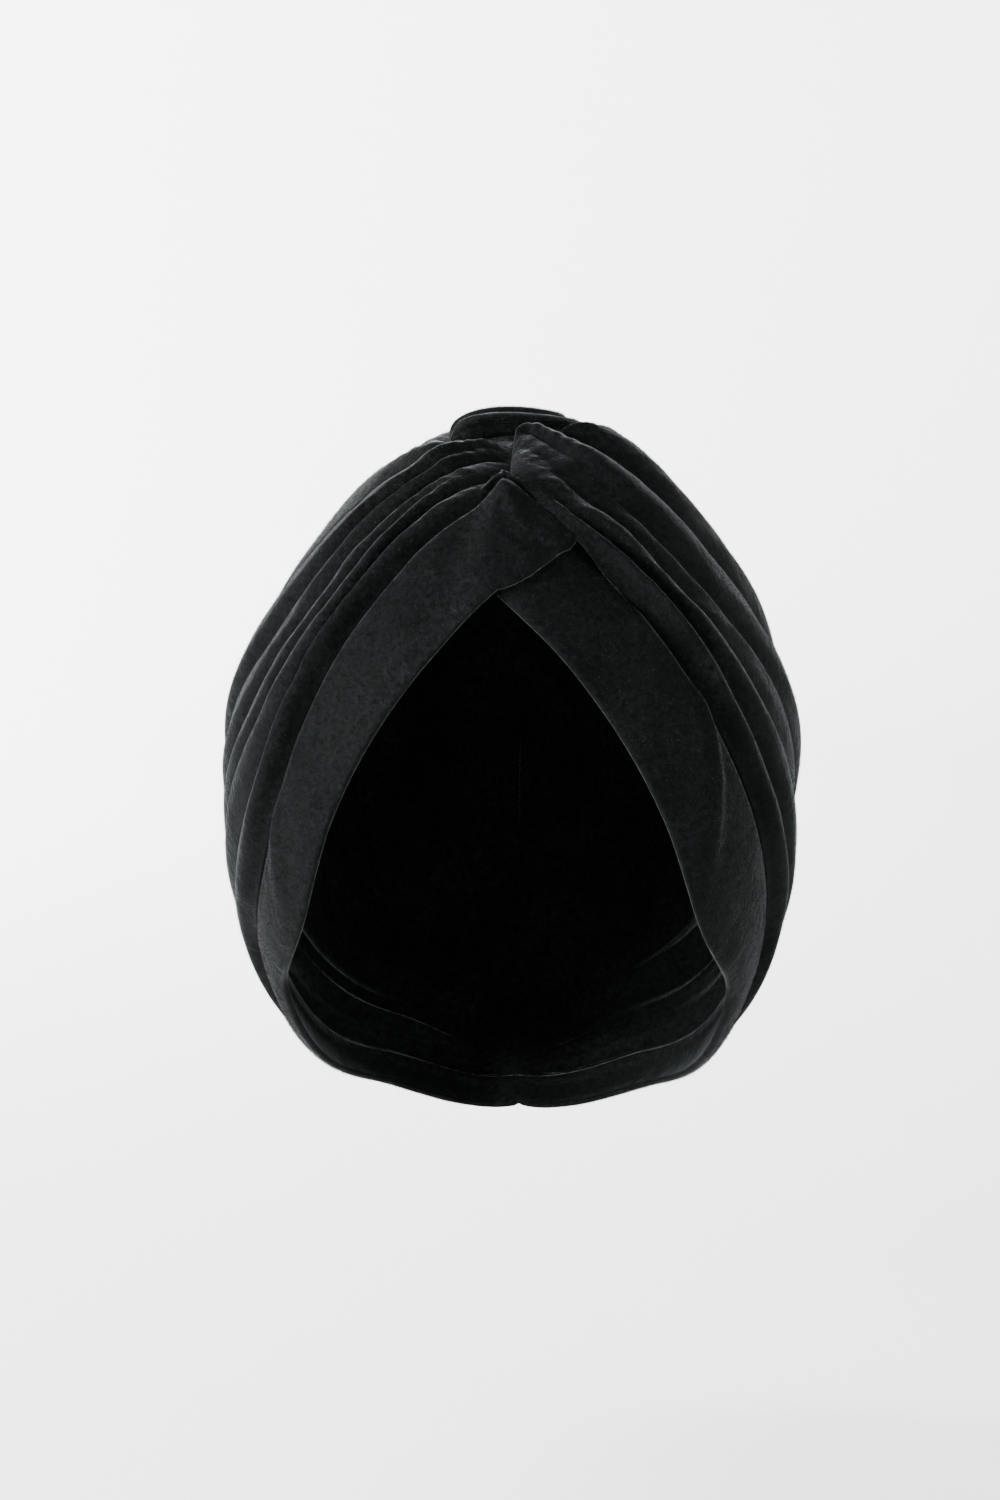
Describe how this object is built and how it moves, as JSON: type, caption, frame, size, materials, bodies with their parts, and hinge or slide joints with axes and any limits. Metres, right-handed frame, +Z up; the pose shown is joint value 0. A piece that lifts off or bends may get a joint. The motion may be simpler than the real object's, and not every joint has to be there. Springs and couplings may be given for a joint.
{
  "type": "turban headwrap",
  "caption": "Pull-on turban headwrap of soft velvet with a gathered twisted front, open below and over the face, shown as worn.",
  "frame": {"origin": "top of the hollow that the wearer's head fills, on the upright middle plane", "axes": "+Z up as worn, -Y towards the front with the twist, +X towards the right of the picture"},
  "size_m": [0.1761, 0.1863, 0.2257],
  "materials": {
    "left_pleats": "black stretch velvet, matt with a soft sheen on the folds",
    "right_pleats": "black stretch velvet, matt with a soft sheen on the folds",
    "left_band": "black stretch velvet, matt",
    "right_band": "black stretch velvet, matt",
    "crown_roll": "black stretch velvet, matt with a soft sheen"
  },
  "bodies": {
    "root": {"left_pleats": "left_pleats", "right_pleats": "right_pleats", "left_band": "left_band", "right_band": "right_band", "crown_roll": "crown_roll"}
  },
  "joints": []
}
